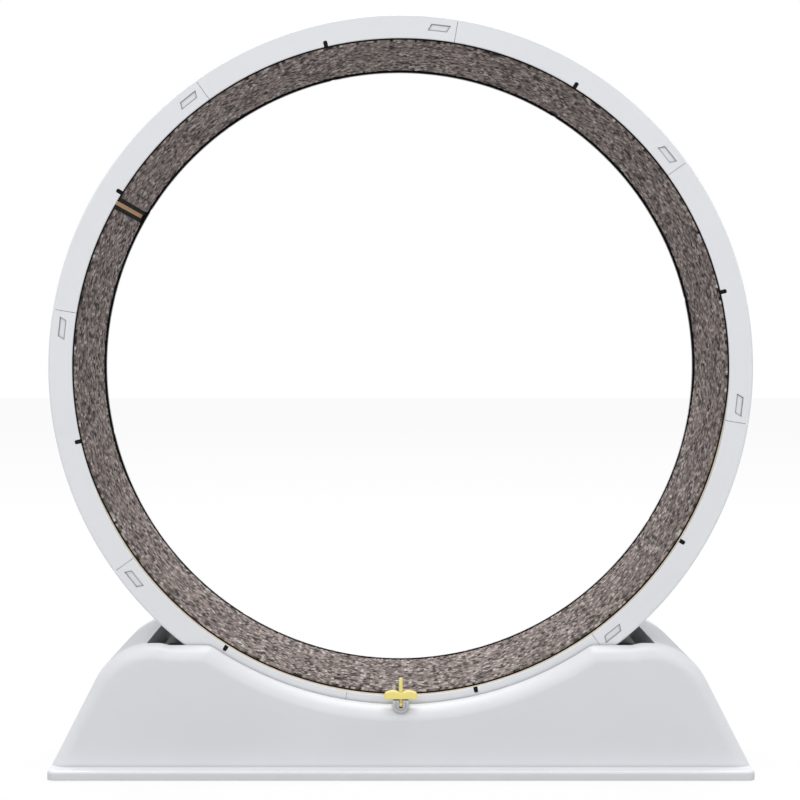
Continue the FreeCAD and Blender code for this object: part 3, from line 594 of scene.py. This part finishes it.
t = np.linspace(-1, 1, 7)[:, None]
arch = CARPET_RADIUS - STITCH_ARCH * (1 - t * t)
thick = STITCH_RADIUS * np.sqrt(BLUNT_TIP - t ** 4)
turn = np.linspace(0, 2 * math.pi, 8, endpoint=False)
middles = np.arange(-pile_half + STITCH_PITCH, pile_half - STITCH_PITCH / 2, STITCH_PITCH)
for end_name, sign in (("start", 1), ("end", -1)):
    centre_angle = SEAM_ANGLE + sign * (SEAM_GAP / 2 + END_BINDING + STITCH_FROM_BINDING) / BOARD_RADIUS
    radius = arch - thick * np.sin(turn)
    place_angle = centre_angle + thick * np.cos(turn) / BOARD_RADIUS
    bars = [in_hoop(radius, place_angle, middle + t * STITCH_LENGTH / 2) for middle in middles]
    row = strip(f"hem_stitches_{end_name}", bars, thread)

# %% [markdown]
# ## The board's edge under the mat
# Where the mat stands further in, the pale edge of the board's top ply shows as a fine light line
# between the hoop's lip and the black thread. It is a thin strip that fades out with the rise.

# %% Make the visible edge of the board
EDGE_STATIONS = 900
PAST_BINDING = 0.2 * MM          # the edge stands this far in front of the thread

lift_reach = LIFT_HALF + LIFT_FADE
shown = np.linspace(LIFT_MIDDLE - lift_reach, LIFT_MIDDLE + lift_reach, EDGE_STATIONS)
top_radius = BOARD_RADIUS - np.maximum(mat_lift(shown), CLEARANCE)[:, None]
low_radius = np.full_like(top_radius, BOARD_RADIUS)
radius = np.concatenate([low_radius, top_radius, top_radius, low_radius], axis=1)
outer, inner = MAT_HALF + PAST_BINDING, MAT_HALF - BINDING_WIDTH
y = -np.array([[outer, outer, inner, inner]])
board_edge = strip("board_edge_front", [in_hoop(radius, shown[:, None], y)], birch_edge)
print("board edge strip:", len(board_edge.data.vertices), "points")

# %% [markdown]
# ## Near-black blocks for the shade in the lock notches
# Every notch in the hoop's inner edges gets a near-black block at its blind end, a painted shade for the
# dark inside of the notch. It is a small block with a round bottom, as wide as the notch less its
# clearance, so that the notch looks black from outside. The rear notches stand 7 mm further in than the
# front ones.

# %% Make the blocks that paint the shade in the notches
FIRST_JOINT = math.radians(35.6)
NOTCH_HALF = 2.85 * MM
NOTCH_LOW = 474.2 * MM           # radius of the notch's round bottom
REAR_STEP = 7 * MM
FRONT_BLOCK_TOP = 466.6 * MM
REAR_BLOCK_TOP = 459.8 * MM
SHADE_BLOCK_FACES = np.array([[-124.5], [-121.05]]) * MM    # a front block's two faces across the width
SHADE_BLOCK_BEVEL = 0.4 * MM

turn = np.linspace(0, math.pi, 9)
along = NOTCH_HALF * np.concatenate([[1, -1], -np.cos(turn)])
blocks = []
for number in range(SEGMENTS):
    middle = FIRST_JOINT + 2 * math.pi / SEGMENTS * (number + 0.5)
    for side, block_top, low in ((-1, FRONT_BLOCK_TOP, NOTCH_LOW),
                                 (1, REAR_BLOCK_TOP, NOTCH_LOW - REAR_STEP)):
        round_bottom = low - NOTCH_HALF + NOTCH_HALF * np.sin(turn)
        radius = np.concatenate([[block_top, block_top], round_bottom])
        blocks.append(in_hoop(radius, middle + along / radius, -side * SHADE_BLOCK_FACES))
# Painted shade: near-black blocks stand in for the shade deep inside each notch.
notch_shade_blocks = strip("notch_shade_blocks", blocks, notch_shade_black, smooth=False)
bevel = notch_shade_blocks.modifiers.new("rounded_edge", "BEVEL")
bevel.width = SHADE_BLOCK_BEVEL
bevel.segments = 2
print("notch liners:", len(blocks), "blocks,", len(notch_shade_blocks.data.polygons), "faces")

# %% [markdown]
# ## The soft piece
# The pile is the one soft sheet. It is laid flat on the board, and its bindings and stitches go with it.
# Its mesh is built in place above, so nothing has to drape.

print("sheet declared:", carpet.name)

# %% [markdown]
# ## Camera
# The picture was taken from 2.5 m in front, a little left of the middle and about level with the hoop's
# axis. The camera is a plain perspective one, straight at the wheel. Two small shifts put the object
# where the picture has it, without turning the camera, so upright lines stay upright.

# %% Camera
FRAME_PIXELS = 800
FOCAL_PIXELS = 1680
AIM_X, AIM_Y = 388, 354          # pixel that the camera looks at, level with its lens
SENSOR_WIDTH = 36
CAMERA_PLACE = (-18 * MM, -2511 * MM, 594 * MM)
VIEW_END = 100                   # metres, past the far end of the floor

data = bpy.data.cameras.new("photo_camera")
camera = bpy.data.objects.new("photo_camera", data)
scene = bpy.context.scene
scene.collection.objects.link(camera)
data.sensor_width = SENSOR_WIDTH
data.lens = FOCAL_PIXELS / FRAME_PIXELS * SENSOR_WIDTH
data.shift_x = (FRAME_PIXELS / 2 - AIM_X) / FRAME_PIXELS
data.shift_y = -(FRAME_PIXELS / 2 - AIM_Y) / FRAME_PIXELS
data.clip_end = VIEW_END
camera.location = CAMERA_PLACE
camera.rotation_euler = (math.radians(90), 0, 0)
scene.camera = camera
print("lens:", round(data.lens, 1), "mm, shift:", round(data.shift_x, 4), round(data.shift_y, 4))

# %% [markdown]
# ## Light
# A product picture's light: a white room that lights the object from all sides, a large soft key from
# the upper left, a weaker fill from the right, a low one in front that reaches into the base beside the
# hoop, and a soft top light far above that draws the bright upper edges. The room gives the upright
# faces most of their light, and the walls inside the base see little else. The background is shown pure
# white, while what it sheds is set apart from what it shows, so that white plastic keeps its shape
# against it. The top light hangs high, so that the hoop's top gets little more of it than the base.
# From above that top still shows as pure white. A weaker lamp would cure it, but dull the base and mat.

# %% World and softboxes
ROOM_LIGHT = 0.53

scene.view_settings.view_transform = "Standard"
world = bpy.data.worlds.new("studio")
scene.world = world
world.use_nodes = True
tree = world.node_tree
tree.nodes.clear()
ray = add(tree, "ShaderNodeLightPath").outputs
seen = add(tree, "ShaderNodeMath", {0: ray["Is Camera Ray"], 1: ray["Is Glossy Ray"]}, operation="MAXIMUM")
seen = add(tree, "ShaderNodeMath", {0: seen.outputs[0], 1: ray["Is Transmission Ray"]}, operation="MAXIMUM")
shed = add(tree, "ShaderNodeBackground", {"Color": linear("#FDFDFF"), "Strength": ROOM_LIGHT})
white = add(tree, "ShaderNodeBackground", {"Color": linear("#FFFFFF"), "Strength": 1.0})
mix = add(tree, "ShaderNodeMixShader", {0: seen.outputs[0], 1: shed.outputs[0], 2: white.outputs[0]})
add(tree, "ShaderNodeOutputWorld", {"Surface": mix.outputs[0]})


def softbox(name, size, place, target, watts):
    """Square area lamp that faces a point."""
    lamp = bpy.data.lights.new(name, "AREA")
    lamp.shape = "SQUARE"
    lamp.size = size
    lamp.energy = watts
    box = bpy.data.objects.new(name, lamp)
    scene.collection.objects.link(box)
    box.location = place
    box.rotation_euler = (Vector(target) - Vector(place)).to_track_quat("-Z", "Y").to_euler()


softbox("key", 2.5, (-2.0, -3.0, 3.4), (0, 0, 0.5), 30)
softbox("fill", 2.5, (2.8, -2.4, 2.0), (0, 0, 0.5), 12)
softbox("front", 2.5, (0, -3.4, 0.9), (0, 0, 0.4), 20)
softbox("top", 4.5, (0, 1.0, 7.0), (0, 0, 0.3), 500)
print("lamps:", len(bpy.data.lights))

# %% [markdown]
# ## Floor
# A plain pale floor that keeps the contact shadow. To the camera it glows, so that it joins the white
# background without a horizon, while its diffuse part still shows the shadow. Its paper is a light
# grey, because a white one would throw the top light back up and flatten the front of the base.

# %% Floor
FLOOR_HALF = 20
FLOOR_GLOW = 0.86                # share of what the camera sees that is glow
GLOW_STRENGTH = 1.07

grid = bmesh.new()
bmesh.ops.create_grid(grid, x_segments=2, y_segments=2, size=FLOOR_HALF)
mesh = bpy.data.meshes.new("floor")
grid.to_mesh(mesh)
grid.free()
floor = bpy.data.objects.new("floor", mesh)
scene.collection.objects.link(floor)
pale = bpy.data.materials.new("floor_paper")
pale.use_nodes = True
tree = pale.node_tree
tree.nodes.clear()
ray = add(tree, "ShaderNodeLightPath").outputs
paper = add(tree, "ShaderNodeBsdfDiffuse", {"Color": linear("#B4B4B4")})
glow = add(tree, "ShaderNodeEmission", {"Color": linear("#FFFFFF"), "Strength": GLOW_STRENGTH})
share = add(tree, "ShaderNodeMath", {0: ray["Is Camera Ray"], 1: FLOOR_GLOW}, operation="MULTIPLY")
mix = add(tree, "ShaderNodeMixShader", {0: share.outputs[0], 1: paper.outputs[0], 2: glow.outputs[0]})
add(tree, "ShaderNodeOutputMaterial", {"Surface": mix.outputs[0]})
mesh.materials.append(pale)
floor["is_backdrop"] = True
print("floor:", floor.name)

# %% [markdown]
# ## Sizes
# The box of the dressed model is measured like the CAD's box, and the difference is printed in mm.

# %% Print the difference in size
low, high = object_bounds()
pairs = zip((*low, *high), (*cad_low, *cad_high))
print("difference in mm:", [round((dressed - solid) / MM, 2) for dressed, solid in pairs])
